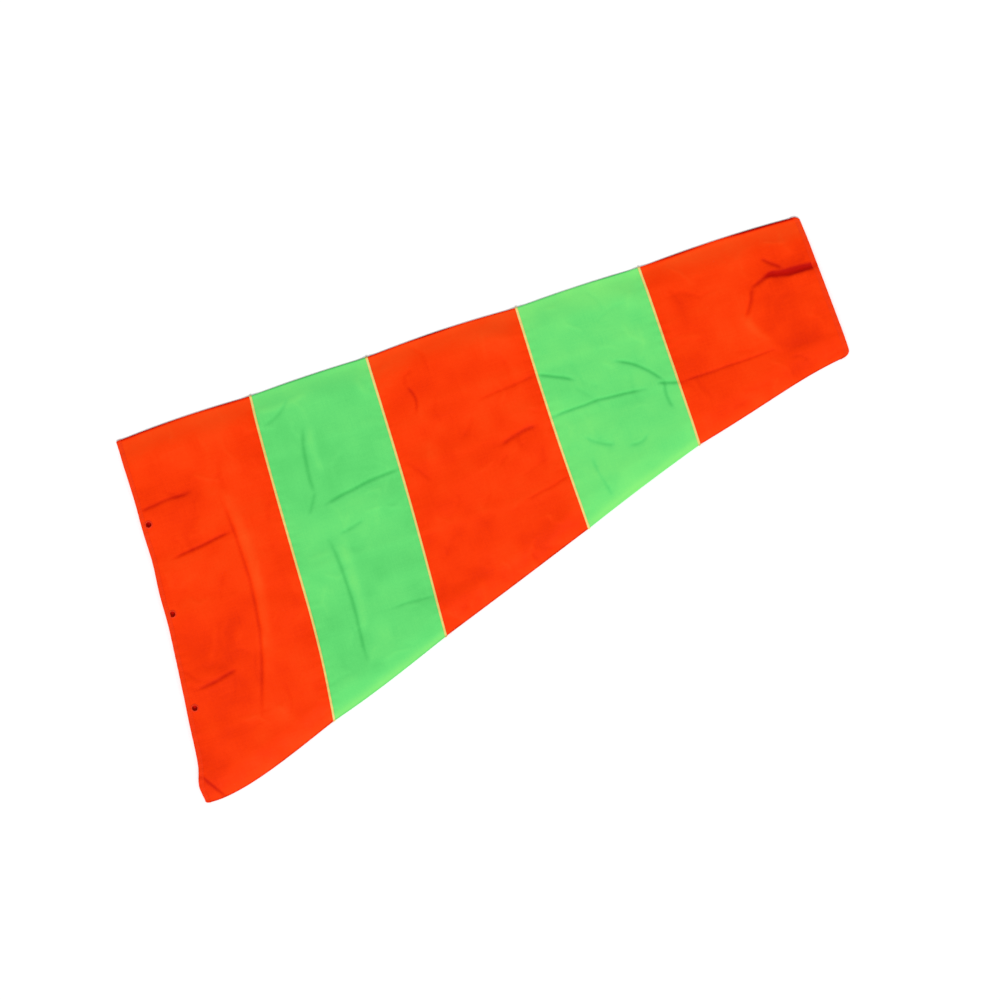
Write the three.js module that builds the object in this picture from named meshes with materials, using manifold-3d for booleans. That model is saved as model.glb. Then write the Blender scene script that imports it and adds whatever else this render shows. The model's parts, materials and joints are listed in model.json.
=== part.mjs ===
// Windsock sleeve: a tapered cloth tube of five bands, pressed flat and lying on its underside.
// Millimetres, +Z up. +X runs down the middle of the sleeve from its mouth to its tail, the folded
// edge is on the +Y side and the sewn edge on the -Y side. The origin is under the middle of the
// sleeve's box, on the surface it lies on.
//
// Everything is drawn in the pattern's own directions, as the cloth is cut: u runs along the folded
// edge from the mouth, v runs across the cloth from that edge, and z is up. The pattern is then
// turned so that the sleeve's middle line lies along X.
import * as THREE from "three";
import { mergeVertices } from "three/addons/utils/BufferGeometryUtils.js";
import Module from "manifold-3d";

const wasm = await Module();
wasm.setup();

// ---- driving dimensions ----

// Where the mouth, the four band seams and the tail cross the sleeve: their u at the folded edge
// and at the sewn edge, and how far the line bows towards the tail between them.
const MOUTH = { foldU: 0, sewnU: -37, bow: 7 };
const SEAMS = [
  { foldU: 191, sewnU: 161, bow: 0 },
  { foldU: 356, sewnU: 340, bow: 0 },
  { foldU: 569, sewnU: 569, bow: 0 },
  { foldU: 743, sewnU: 746, bow: 0 },
];
const TAIL = { foldU: 968, sewnU: 974, bow: 0 };

// The sewn edge: straight runs between these corners, as [u, v].
const SEWN_CORNERS = [
  [-37, 499],
  [30, 494],
  [746, 251],
  [974, 200],
];

const HEIGHT = 9; // of the flattened tube, outside
const WALL = 0.8; // cloth with its coating, thickened to a workable skin
const CLEARANCE = 0.3; // between pieces that lie against each other
const SWING_GAP = 5.5; // from a seam's hinge line to the band behind it, which tilts up

const HEM_WIDTH = 5; // turned edge at the mouth and the tail
const HEM_PROUD = 0.4; // how far a hem's extra layers stand over the band
const PIPING_WIDTH = 3;
const PIPING_PROUD = 0.6;
const ALLOWANCE_WIDTH = 6; // cloth of the long seam, turned inside the tube
const ALLOWANCE_THICKNESS = 1;

const EYELET_SETBACK = 11; // eyelet centre, behind the mouth edge
const EYELET_BORE_RADIUS = 3.6;
const EYELET_BARREL_RADIUS = 4.4;
const EYELET_FLANGE_RADIUS = 5.6;
const EYELET_FLANGE_THICKNESS = 0.5;
const EYELET_SHARES = [0.24, 0.49, 0.75]; // places across the mouth, from the folded edge
const LOWER_EYELET_SHIFT = 16; // the lower layer's eyelets lie this much nearer the sewn edge

const BAND_STEPS = 4; // lengthwise steps in a band
const FLAT_STEPS = 8; // steps across the flat of the tube
const EDGE_STEPS = 5; // steps round a folded edge
const ROUND_STEPS = 24; // steps round an eyelet

// ---- materials ----

const cloth = (color) =>
  new THREE.MeshStandardMaterial({ color, roughness: 0.75, metalness: 0, side: THREE.DoubleSide });
const ORANGE_CLOTH = cloth(0xfb3d0c);
const GREEN_CLOTH = cloth(0x6be077);
const YELLOW_PIPING = cloth(0xe3be5a);
const ORANGE_THREAD = cloth(0xff5a30);

// ---- the pattern ----

// v of the sewn edge at u; past the end corners it runs on in the same direction.
function sewnEdge(u) {
  let i = 1;
  while (i < SEWN_CORNERS.length - 1 && u > SEWN_CORNERS[i][0]) i++;
  const [u0, v0] = SEWN_CORNERS[i - 1];
  const [u1, v1] = SEWN_CORNERS[i];
  return v0 + ((v1 - v0) * (u - u0)) / (u1 - u0);
}

// The same line, moved towards the tail.
function moved(line, distance) {
  return { foldU: line.foldU + distance, sewnU: line.sewnU + distance, bow: line.bow };
}

// The line a share of the way from a to b.
function between(a, b, share) {
  const mix = (key) => THREE.MathUtils.lerp(a[key], b[key], share);
  return { foldU: mix("foldU"), sewnU: mix("sewnU"), bow: mix("bow") };
}

// Length of a line across the cloth, edge to edge.
function lineLength(line) {
  return Math.hypot(line.sewnU - line.foldU, sewnEdge(line.sewnU));
}

// The point of a line at a distance from the folded edge, at height z.
function pointOn(line, distance, z) {
  const share = distance / lineLength(line);
  const lean = line.bow * 4 * share * (1 - share);
  const u = THREE.MathUtils.lerp(line.foldU, line.sewnU, share) + lean;
  return new THREE.Vector3(u, -sewnEdge(line.sewnU) * share, z);
}

// ---- flattened tubes ----

// One turn round a flattened tube along a line: flat below and above, half round at both edges.
// inset is how far it lies inside the cloth's outer face below, and rise how far above it on top.
function turnOfTube(line, inset, rise) {
  const low = inset;
  const high = HEIGHT + rise;
  const radius = (high - low) / 2;
  const middle = (high + low) / 2;
  const near = -rise + radius;
  const far = lineLength(line) + rise - radius;
  const turn = [];
  for (let i = 0; i <= FLAT_STEPS; i++)
    turn.push([THREE.MathUtils.lerp(near, far, i / FLAT_STEPS), low]);
  for (let i = 1; i < EDGE_STEPS; i++) {
    const angle = (Math.PI * i) / EDGE_STEPS;
    turn.push([far + radius * Math.sin(angle), middle - radius * Math.cos(angle)]);
  }
  for (let i = 0; i <= FLAT_STEPS; i++)
    turn.push([THREE.MathUtils.lerp(far, near, i / FLAT_STEPS), high]);
  for (let i = 1; i < EDGE_STEPS; i++) {
    const angle = (Math.PI * i) / EDGE_STEPS;
    turn.push([near - radius * Math.sin(angle), middle + radius * Math.cos(angle)]);
  }
  return turn.map(([distance, z]) => pointOn(line, distance, z));
}

// A tube open at both ends, lofted through stations: each has a line and how proud its skin is.
function tube(stations) {
  const outer = stations.map(({ line, proud }) => turnOfTube(line, 0, proud));
  const inner = stations.map(({ line }) => turnOfTube(line, WALL, -WALL));
  const around = outer[0].length;
  const points = [...outer.flat(), ...inner.flat()];
  const innerStart = outer.length * around;
  const last = stations.length - 1;
  const index = [];
  const quad = (a, b, c, d) => index.push(a, b, c, a, c, d);
  for (let j = 0; j < around; j++) {
    const k = (j + 1) % around;
    for (let i = 0; i < last; i++) {
      const here = i * around;
      const next = here + around;
      quad(here + j, next + j, next + k, here + k);
      quad(
        innerStart + here + j,
        innerStart + here + k,
        innerStart + next + k,
        innerStart + next + j,
      );
    }
    const end = last * around;
    quad(j, k, innerStart + k, innerStart + j);
    quad(end + k, end + j, innerStart + end + j, innerStart + end + k);
  }
  const geometry = new THREE.BufferGeometry().setFromPoints(points);
  geometry.setIndex(index);
  geometry.computeVertexNormals();
  return geometry;
}

// The lines of a band's stations, from its mouth side to its tail side.
function bandLines(from, to) {
  const lines = [];
  for (let i = 0; i <= BAND_STEPS; i++) lines.push(between(from, to, i / BAND_STEPS));
  return lines;
}

// A hem round an open end, its turned edge a little proud of the band.
function hemTube(from, to) {
  return tube([
    { line: from, proud: HEM_PROUD },
    { line: to, proud: HEM_PROUD },
  ]);
}

// A bead of piping round the sleeve, round on its outside.
function pipingTube(seam) {
  const half = PIPING_WIDTH / 2;
  return tube(
    [-1, -0.6, 0, 0.6, 1].map((share) => ({
      line: moved(seam, share * half),
      proud: PIPING_PROUD * Math.sqrt(1 - share * share),
    })),
  );
}

// The long seam's turned-in cloth: a strip inside a band's tube, along the sewn edge.
function allowanceStrip(lines) {
  const outside = WALL + CLEARANCE;
  const inside = outside + ALLOWANCE_WIDTH;
  const edge = (inset) => lines.map((line) => pointOn(line, lineLength(line) - inset, 0));
  const outline = [...edge(outside), ...edge(inside).reverse()];
  const shape = new THREE.Shape(outline.map(({ x, y }) => new THREE.Vector2(x, y)));
  const geometry = new THREE.ExtrudeGeometry(shape, {
    depth: ALLOWANCE_THICKNESS,
    bevelEnabled: false,
  });
  return geometry.translate(0, 0, (HEIGHT - ALLOWANCE_THICKNESS) / 2);
}

// ---- eyelets ----

// Middle of an eyelet: behind the mouth edge, at a distance from the folded edge.
function eyeletCentre(share, shift) {
  const line = moved(MOUTH, EYELET_SETBACK);
  return pointOn(line, lineLength(line) * share + shift, 0);
}

function ringOfProfile(profile, centre) {
  const points = [...profile, profile[0]].map(([r, z]) => new THREE.Vector2(r, z));
  return new THREE.LatheGeometry(points, ROUND_STEPS)
    .rotateX(Math.PI / 2)
    .translate(centre.x, centre.y, 0);
}

// Upper layer: a flange on both faces of the cloth.
function upperEyelet(centre) {
  const outside = HEIGHT + CLEARANCE;
  const inside = HEIGHT - WALL - CLEARANCE;
  return ringOfProfile(
    [
      [EYELET_BORE_RADIUS, inside - EYELET_FLANGE_THICKNESS],
      [EYELET_FLANGE_RADIUS, inside - EYELET_FLANGE_THICKNESS],
      [EYELET_FLANGE_RADIUS, inside],
      [EYELET_BARREL_RADIUS, inside],
      [EYELET_BARREL_RADIUS, outside],
      [EYELET_FLANGE_RADIUS, outside],
      [EYELET_FLANGE_RADIUS, outside + EYELET_FLANGE_THICKNESS],
      [EYELET_BORE_RADIUS, outside + EYELET_FLANGE_THICKNESS],
    ],
    centre,
  );
}

// Lower layer: flush with the underside, and a flange inside the tube.
function lowerEyelet(centre) {
  const inside = WALL + CLEARANCE;
  return ringOfProfile(
    [
      [EYELET_BORE_RADIUS, 0],
      [EYELET_BARREL_RADIUS, 0],
      [EYELET_BARREL_RADIUS, inside],
      [EYELET_FLANGE_RADIUS, inside],
      [EYELET_FLANGE_RADIUS, inside + EYELET_FLANGE_THICKNESS],
      [EYELET_BORE_RADIUS, inside + EYELET_FLANGE_THICKNESS],
    ],
    centre,
  );
}

// ---- cutting ----

function toSolid(geometry) {
  const bare = geometry.clone();
  bare.deleteAttribute("normal");
  bare.deleteAttribute("uv");
  const merged = mergeVertices(bare, 1e-4);
  const vertProperties = merged.getAttribute("position").array;
  const triVerts = new Uint32Array(merged.index.array);
  return new wasm.Manifold(new wasm.Mesh({ numProp: 3, vertProperties, triVerts }));
}

function toGeometry(solid) {
  const mesh = solid.getMesh();
  const geometry = new THREE.BufferGeometry();
  geometry.setAttribute("position", new THREE.BufferAttribute(mesh.vertProperties, 3));
  geometry.setIndex(new THREE.BufferAttribute(mesh.triVerts, 1));
  geometry.computeVertexNormals();
  return geometry;
}

// The geometry with a round hole through one layer of cloth at each centre.
function pierced(geometry, upperCentres, lowerCentres) {
  const radius = EYELET_BARREL_RADIUS + CLEARANCE;
  const depth = 2 * WALL;
  let solid = toSolid(geometry);
  const drill = (centre, z) => {
    const bit = new THREE.CylinderGeometry(radius, radius, depth, ROUND_STEPS)
      .rotateX(Math.PI / 2)
      .translate(centre.x, centre.y, z);
    solid = solid.subtract(toSolid(bit));
  };
  upperCentres.forEach((centre) => drill(centre, HEIGHT - WALL / 2));
  lowerCentres.forEach((centre) => drill(centre, WALL / 2));
  return toGeometry(solid);
}

// ---- assembly ----

// The outline as it is cut and sewn; turned and moved as one below.
const sleeve = new THREE.Group();

function add(name, geometry, material) {
  const mesh = new THREE.Mesh(geometry, material);
  mesh.name = name;
  sleeve.add(mesh);
}

const upperCentres = EYELET_SHARES.map((share) => eyeletCentre(share, 0));
const lowerCentres = EYELET_SHARES.map((share) => eyeletCentre(share, LOWER_EYELET_SHIFT));

const BAND_COLOURS = ["orange", "green", "orange", "green", "orange"];
const CLOTH_OF = { orange: ORANGE_CLOTH, green: GREEN_CLOTH };
const besidePiping = PIPING_WIDTH / 2 + CLEARANCE;
const besideHem = HEM_WIDTH + CLEARANCE;

BAND_COLOURS.forEach((colour, i) => {
  const isMouth = i === 0;
  const isTail = i === SEAMS.length;
  const from = isMouth ? moved(MOUTH, besideHem) : moved(SEAMS[i - 1], SWING_GAP);
  const to = isTail ? moved(TAIL, -besideHem) : moved(SEAMS[i], -besidePiping);
  const lines = bandLines(from, to);
  const geometry = tube(lines.map((line) => ({ line, proud: 0 })));
  const number = i + 1;
  add(
    `band_${number}_${colour}`,
    isMouth ? pierced(geometry, upperCentres, lowerCentres) : geometry,
    CLOTH_OF[colour],
  );
  add(`side_seam_${number}`, allowanceStrip(lines), CLOTH_OF[colour]);
});

SEAMS.forEach((seam, i) => add(`piping_${i + 1}`, pipingTube(seam), YELLOW_PIPING));

add("mouth_hem", hemTube(MOUTH, moved(MOUTH, HEM_WIDTH)), ORANGE_CLOTH);
add("tail_hem", hemTube(moved(TAIL, -HEM_WIDTH), TAIL), ORANGE_CLOTH);

upperCentres.forEach((centre, i) =>
  add(`eyelet_upper_${i + 1}`, upperEyelet(centre), ORANGE_THREAD),
);
lowerCentres.forEach((centre, i) =>
  add(`eyelet_lower_${i + 1}`, lowerEyelet(centre), ORANGE_THREAD),
);

// Turn the sleeve's middle line onto X, then put the middle of its box over the origin.
const mouthMiddle = pointOn({ ...MOUTH, bow: 0 }, lineLength(MOUTH) / 2, 0);
const tailMiddle = pointOn(TAIL, lineLength(TAIL) / 2, 0);
const middleLine = tailMiddle.clone().sub(mouthMiddle);
sleeve.rotation.z = -Math.atan2(middleLine.y, middleLine.x);

const windsock = new THREE.Group();
windsock.add(sleeve);
const middle = new THREE.Box3().setFromObject(windsock, true).getCenter(new THREE.Vector3());
sleeve.position.set(-middle.x, -middle.y, 0);

export default windsock;
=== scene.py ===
"""Windsock sleeve of five cloth bands, pressed flat on a pale floor. Metres, in the frame's own axes."""

import json
import math

import bpy
import numpy as np
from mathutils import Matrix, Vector


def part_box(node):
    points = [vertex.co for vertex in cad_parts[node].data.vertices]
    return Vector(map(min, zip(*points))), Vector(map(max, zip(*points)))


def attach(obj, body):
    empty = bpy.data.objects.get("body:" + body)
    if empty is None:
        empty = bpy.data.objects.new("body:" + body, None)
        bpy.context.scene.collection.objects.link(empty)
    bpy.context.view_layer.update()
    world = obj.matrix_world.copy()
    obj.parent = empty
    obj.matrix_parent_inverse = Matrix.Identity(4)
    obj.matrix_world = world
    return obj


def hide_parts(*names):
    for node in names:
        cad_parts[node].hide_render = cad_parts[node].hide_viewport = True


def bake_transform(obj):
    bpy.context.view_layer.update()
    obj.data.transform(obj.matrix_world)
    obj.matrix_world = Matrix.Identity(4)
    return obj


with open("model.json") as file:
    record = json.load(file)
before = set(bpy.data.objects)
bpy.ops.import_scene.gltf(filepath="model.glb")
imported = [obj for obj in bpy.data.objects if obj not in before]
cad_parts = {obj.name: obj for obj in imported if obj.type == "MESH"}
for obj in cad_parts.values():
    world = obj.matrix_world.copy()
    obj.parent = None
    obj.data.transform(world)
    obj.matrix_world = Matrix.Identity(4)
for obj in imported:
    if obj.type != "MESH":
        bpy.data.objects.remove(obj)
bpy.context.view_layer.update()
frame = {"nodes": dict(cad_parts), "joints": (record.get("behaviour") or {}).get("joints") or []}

MM = 0.001

# ---- sizes ----

CLOTH = 0.3 * MM  # thickness of the coated cloth
GRID = 2.1 * MM  # spacing of the cloth's mesh
REST_HEIGHT = 0.35 * MM  # lower layer over the floor
EDGE_GAP = 1.8 * MM  # height of the flattened tube just inside its two edges
MIDDLE_GAP = 4.2 * MM  # and in its middle
EDGE_REACH = 38 * MM  # how far in from an edge the tube reaches that height
FOLD_RADIUS = 1.2 * MM

MOUTH_BOW = 8.6 * MM  # middle of the mouth edge, towards the tail
MOUTH_FLARE = 5.0 * MM  # the mouth's sewn corner kicks out the other way
FLARE_SHARE = 0.955  # where across the mouth that is, and how wide
FLARE_WIDTH = 0.035
MOUTH_WAVES = 1.5 * MM
SEAM_BOWS = (6.0 * MM, 3.2 * MM, -2.4 * MM, 0.0)  # middle of each seam, towards the tail
SEAM_SKEWS = (2.2, 1.0, 1.0, 1.0)  # over 1 where the bow is nearer the sewn edge
FOLD_SWELL = 3.0 * MM  # the folded edge runs outside the straight line from mouth to tail
FOLD_BULGES = (2.2 * MM, 1.2 * MM, 3.0 * MM, 1.4 * MM, 2.6 * MM)  # and bellies in each band
SEWN_BULGES = (11.7 * MM, 2.4 * MM, 0.4 * MM, -1.2 * MM, -4.0 * MM)  # as the sewn edge does
SEWN_SKEWS = (0.64, 0.8, 1.0, 1.0, 2.0)  # under 1 where the belly is nearer the mouth
TAIL_SLANT = (1.2 * MM, 3.6 * MM)  # the tail edge past its line, at the fold and at the sewn edge
TAIL_CORNERS = (6 * MM, 10 * MM)  # radii at the folded and the sewn edge

PIPING_HALF_WIDTH = 1.7 * MM
PIPING_HALF_HEIGHT = 0.8 * MM
PIPING_LIFT = 0.2 * MM
PIPING_PROUD = 0.6 * MM  # of the CAD piping over its band

HEM = 6.5 * MM
HEM_STEP = 1.0 * MM
STITCH_LENGTH = 2.6 * MM
STITCH_PITCH = 3.6 * MM
STITCH_RADIUS = 0.28 * MM
STITCH_SINK = 0.45 * MM  # of its ends, into the cloth

ALLOWANCE = 6 * MM  # cloth turned in at the long seam
ALLOWANCE_LINES = np.array((1.0, 0.75, 0.5, 0.25)) * ALLOWANCE
HOLE = 4.2 * MM  # radius of the hole in the cloth, under the thread of an eyelet

SEAM_GAP = 0.2 * MM  # between a band's cloth and its seam's line

BODIES = ("mouth_section", "second_section", "third_section", "fourth_section", "tail_section")
COLOURS = ("orange", "green", "orange", "green", "orange")
BANDS = [f"band_{k}_{colour}" for k, colour in enumerate(COLOURS, 1)]
EYELETS = [(side, number) for side in ("upper", "lower") for number in (1, 2, 3)]

# ---- camera ----

PHOTO_WIDTH = 1.3514  # what the picture takes in, side to side, on the floor
PHOTO_CENTRE = (0.0032, -0.0583)
PHOTO_TURN = math.radians(-26.9)
LENS = 50.0
SENSOR = 36.0


def make_camera():
    data = bpy.data.cameras.new("camera")
    data.lens = LENS
    data.sensor_width = SENSOR
    camera = bpy.data.objects.new("camera", data)
    camera.location = (*PHOTO_CENTRE, PHOTO_WIDTH * LENS / SENSOR)
    camera.rotation_euler = (0, 0, PHOTO_TURN)
    bpy.context.scene.collection.objects.link(camera)
    bpy.context.scene.camera = camera


make_camera()


def new_object(name, verts, faces):
    """A mesh object, linked into the scene."""
    mesh = bpy.data.meshes.new(name)
    mesh.from_pydata(verts, [], faces)
    made = bpy.data.objects.new(name, mesh)
    bpy.context.scene.collection.objects.link(made)
    return made


def square(name, half):
    """A flat square on the floor's level, this far from its middle to its sides."""
    corners = [(-half, -half, 0), (half, -half, 0), (half, half, 0), (-half, half, 0)]
    return new_object(name, corners, [(0, 1, 2, 3)])


# ---- the outline, from the frame ----


def node_points(name):
    return np.array([v.co for v in frame["nodes"][name].data.vertices], float)


def corner(name, x, y):
    """The point of a node that is furthest along (x, y)."""
    points = node_points(name)[:, :2]
    return points[np.argmax(points @ np.array((x, y)))]


def seam_ends(joint, piping):
    """Where a seam's line meets the folded and the sewn edge."""
    middle, axis = np.array(joint["pos_m"][:2]), np.array(joint["axis"][:2])
    along = (node_points(piping)[:, :2] - middle) @ axis
    return middle + axis * (along.min() + PIPING_PROUD), middle + axis * (along.max() - PIPING_PROUD)


JOINTS = frame["joints"]
ends = [(corner("mouth_hem", -1, 1), corner("mouth_hem", -1, -1))]
ends += [seam_ends(joint, f"piping_{k}") for k, joint in enumerate(JOINTS, 1)]
ends += [(corner("tail_hem", 1, 1), corner("tail_hem", 1, -1))]
FOLD = np.array([fold for fold, sewn in ends])
SEWN = np.array([sewn for fold, sewn in ends])
LINES = np.arange(len(ends))  # 0 is the mouth, 1 to 4 the seams, 5 the tail
TOWARDS_TAIL = (FOLD[-1] - FOLD[0]) / np.linalg.norm(FOLD[-1] - FOLD[0])
ACROSS = np.array((TOWARDS_TAIL[1], -TOWARDS_TAIL[0]))  # from the folded edge to the sewn edge


def smooth(x):
    x = np.clip(x, 0, 1)
    return x * x * (3 - 2 * x)


def bell(x, middle, width):
    return np.exp(-(((x - middle) / width) ** 2))


def noise(x, y, size, seed):
    """Smooth noise from -1 to 1 with lumps of this size in metres."""
    cells = np.random.default_rng(seed).uniform(-1, 1, (64, 64))
    x, y = x / size, y / size
    i, j = np.floor(x).astype(int), np.floor(y).astype(int)
    s, t = smooth(x - i), smooth(y - j)

    def between(dj):
        near, far = (cells[(i + di) % 64, (j + dj) % 64] for di in (0, 1))
        return near * (1 - s) + far * s

    return between(0) * (1 - t) + between(1) * t


def along_lines(values, a):
    """One value or point for each line, linearly between them."""
    values = np.asarray(values, float)
    if values.ndim == 1:
        return np.interp(a, LINES, values)
    return np.stack([np.interp(a, LINES, column) for column in values.T], -1)


def outline(a, share):
    """Place on the floor of a point of the sleeve.

    a is 0 at the mouth and 5 at the tail, and share is 0 at the folded edge and 1 at the sewn one.
    """
    fold, sewn = along_lines(FOLD, a), along_lines(SEWN, a)
    band = np.clip(np.floor(a).astype(int), 0, len(LINES) - 2)
    part = a - band
    swell = FOLD_SWELL * np.sin(math.pi * np.clip(a / LINES[-1], 0, 1)) ** 0.4
    fold = fold - (swell + np.take(FOLD_BULGES, band) * np.sin(math.pi * part))[..., None] * ACROSS
    belly = np.take(SEWN_BULGES, band) * np.sin(math.pi * part ** np.take(SEWN_SKEWS, band))
    sewn = sewn + belly[..., None] * ACROSS
    mouth = MOUTH_BOW * np.sin(math.pi * share**0.9) - MOUTH_FLARE * bell(share, FLARE_SHARE, FLARE_WIDTH)
    mouth = mouth + MOUTH_WAVES * noise(share / 2 + 1, share * 0 + 1, 0.045, 91) * np.sin(math.pi * share)
    near_mouth = np.clip(1 - a, 0, 1)
    skew = along_lines((1, *SEAM_SKEWS, 1), a)
    shift = mouth * near_mouth + along_lines((0, *SEAM_BOWS, 0), a) * np.sin(math.pi * share**skew)
    width = np.linalg.norm(sewn - fold, axis=-1)
    near_tail = np.clip(a - LINES[-2], 0, 1) ** 8
    shift = shift + near_tail * (TAIL_SLANT[0] + (TAIL_SLANT[1] - TAIL_SLANT[0]) * share)
    for radius, distance in zip(TAIL_CORNERS, (share * width, (1 - share) * width)):
        left = np.clip(1 - distance / radius, 0, 1)
        shift = shift - near_tail * radius * (1 - np.sqrt(1 - left**2))
    return fold + (sewn - fold) * share[..., None] + shift[..., None] * TOWARDS_TAIL


def pattern_of(xy):
    """Places on the floor as (u, v) in metres from the mouth's folded corner."""
    off = np.asarray(xy) - FOLD[0]
    return off @ TOWARDS_TAIL, off @ ACROSS


# ---- cloth simulation ----

SIM_ROWS = 20  # in each band
SIM_COLUMNS = 44
SIM_FRAMES = 30
SIM_SLACK = 0.008  # how much larger the cloth is than the outline it is sewn to
SIM_CLOTH = {
    "quality": 5,
    "mass": 0.05,
    "tension_stiffness": 20,
    "compression_stiffness": 20,
    "shear_stiffness": 10,
    "bending_stiffness": 0.4,
    "air_damping": 2,
    "shrink_min": -SIM_SLACK,
    "shrink_max": -SIM_SLACK,
}
SIM_START = 3 * MM  # mean height that the cloth is dropped from
SIM_APART = 0.8  # metres between the two layers, which don't touch
SIM_SMOOTHING = 2
SIM_HIGHEST = 9 * MM
HELD_HEIGHT = 0.5 * MM


def simulate_layers():
    """Height of the upper and the lower layer over what each lies on, as two grids of rows and columns.

    Each layer is a loose sheet, held at the seams and at the edges, that is a little larger than its
    outline. It buckles and settles under its own weight.
    """
    rows = SIM_ROWS * (len(LINES) - 1) + 1
    columns = SIM_COLUMNS + 1
    a, share = np.meshgrid(np.linspace(0, LINES[-1], rows), np.linspace(0, 1, columns), indexing="ij")
    flat = outline(a, share)
    verts, faces, held = [], [], []
    for layer in range(2):
        u, v = pattern_of(flat)
        lift = SIM_START * (1 + noise(u + 0.3, v + 0.3, 0.045, 11 + layer))
        at = np.dstack([flat[..., 0], flat[..., 1] + SIM_APART * layer, lift])
        start = layer * rows * columns
        verts.append(at.reshape(-1, 3))
        index = start + np.arange(rows * columns).reshape(rows, columns)
        corners = [index[:-1, :-1], index[:-1, 1:], index[1:, 1:], index[1:, :-1]]
        faces += np.stack(corners, -1).reshape(-1, 4).tolist()
        held += index[::SIM_ROWS].ravel().tolist() + index[:, [0, -1]].ravel().tolist()
    verts = np.vstack(verts)
    verts[held, 2] = HELD_HEIGHT
    sheet = new_object("sim", verts.tolist(), faces)
    group = sheet.vertex_groups.new(name="held")
    group.add([int(i) for i in set(held)], 1.0, "REPLACE")
    cloth = sheet.modifiers.new("cloth", "CLOTH")
    cloth.settings.vertex_group_mass = "held"
    for key, value in SIM_CLOTH.items():
        setattr(cloth.settings, key, value)
    cloth.collision_settings.distance_min = 0.4 * MM
    ground = square("sim_ground", 2)
    ground.modifiers.new("collision", "COLLISION")
    ground.collision.thickness_outer = 0.3 * MM
    scene = bpy.context.scene
    scene.frame_end = SIM_FRAMES
    for number in range(1, SIM_FRAMES + 1):
        scene.frame_set(number)
    evaluated = sheet.evaluated_get(bpy.context.evaluated_depsgraph_get())
    at = np.empty(len(verts) * 3, np.float32)
    evaluated.data.vertices.foreach_get("co", at)
    heights = at.reshape(2, rows, columns, 3)[..., 2].astype(float)
    scene.frame_set(1)
    for extra in (sheet, ground):
        data = extra.data
        bpy.data.objects.remove(extra)
        bpy.data.meshes.remove(data)
    heights = np.clip(heights, 0, SIM_HIGHEST) - HELD_HEIGHT
    for axis in (1, 2):  # takes out waves of one or two cells, which belong to the grid
        for _ in range(SIM_SMOOTHING):
            before, after = np.roll(heights, 1, axis), np.roll(heights, -1, axis)
            heights = (before + 2 * heights + after) / 4
    return heights


def cubic(grid, row, column):
    """A grid's value at fractional rows and columns, by Catmull-Rom curves."""

    def weights(t):
        return (
            ((2 - t) * t - 1) * t / 2,
            ((3 * t - 5) * t * t + 2) / 2,
            (((4 - 3 * t) * t + 1) * t) / 2,
            ((t - 1) * t * t) / 2,
        )

    i = np.clip(np.floor(row).astype(int), 0, grid.shape[0] - 2)
    j = np.clip(np.floor(column).astype(int), 0, grid.shape[1] - 2)
    total = 0
    for di, wi in zip(range(-1, 3), weights(row - i)):
        for dj, wj in zip(range(-1, 3), weights(column - j)):
            ii = np.clip(i + di, 0, grid.shape[0] - 1)
            jj = np.clip(j + dj, 0, grid.shape[1] - 1)
            total = total + wi * wj * grid[ii, jj]
    return total


buckles = simulate_layers()


# ---- the surface of the sleeve ----

BUCKLE_SHARE = 0.9  # of the simulated buckles that the pressed cloth keeps
LOWER_SHARE = 0.12
PIPING_ROOM = 1.2 * MM  # the lower layer's height at a seam, where the piping is under it
END_ROOM = 1.0 * MM  # and at the two hems
ROOM_REACH = 16 * MM
PUCKER_PITCH = 13 * MM
PUCKER = 0.3 * MM
PUCKER_REACH = 11 * MM
GROOVE = 0.35 * MM
GROOVE_REACH = 5 * MM
LINE_SHARE = 0.8  # of the tube's height that is left at a seam or a hem
LINE_REACH = 50 * MM
CREASE_CLEAR = 6 * MM  # creases fade out this near a seam
FOLD_CALM = 10 * MM  # and this near the fold
PACKED_PITCH = 82 * MM  # the sleeve was packed in lengthwise folds this far apart
PACKED_FOLDS = tuple(PACKED_PITCH * n for n in range(1, 6))  # distance of each from the folded edge
PACKED_HEIGHT = 0.35 * MM
PACKED_WIDTH = 7 * MM
LUMPS = ((0.11, 0.9 * MM, 3), (0.045, 0.35 * MM, 5), (0.016, 0.06 * MM, 8))  # size, height, seed

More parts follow.
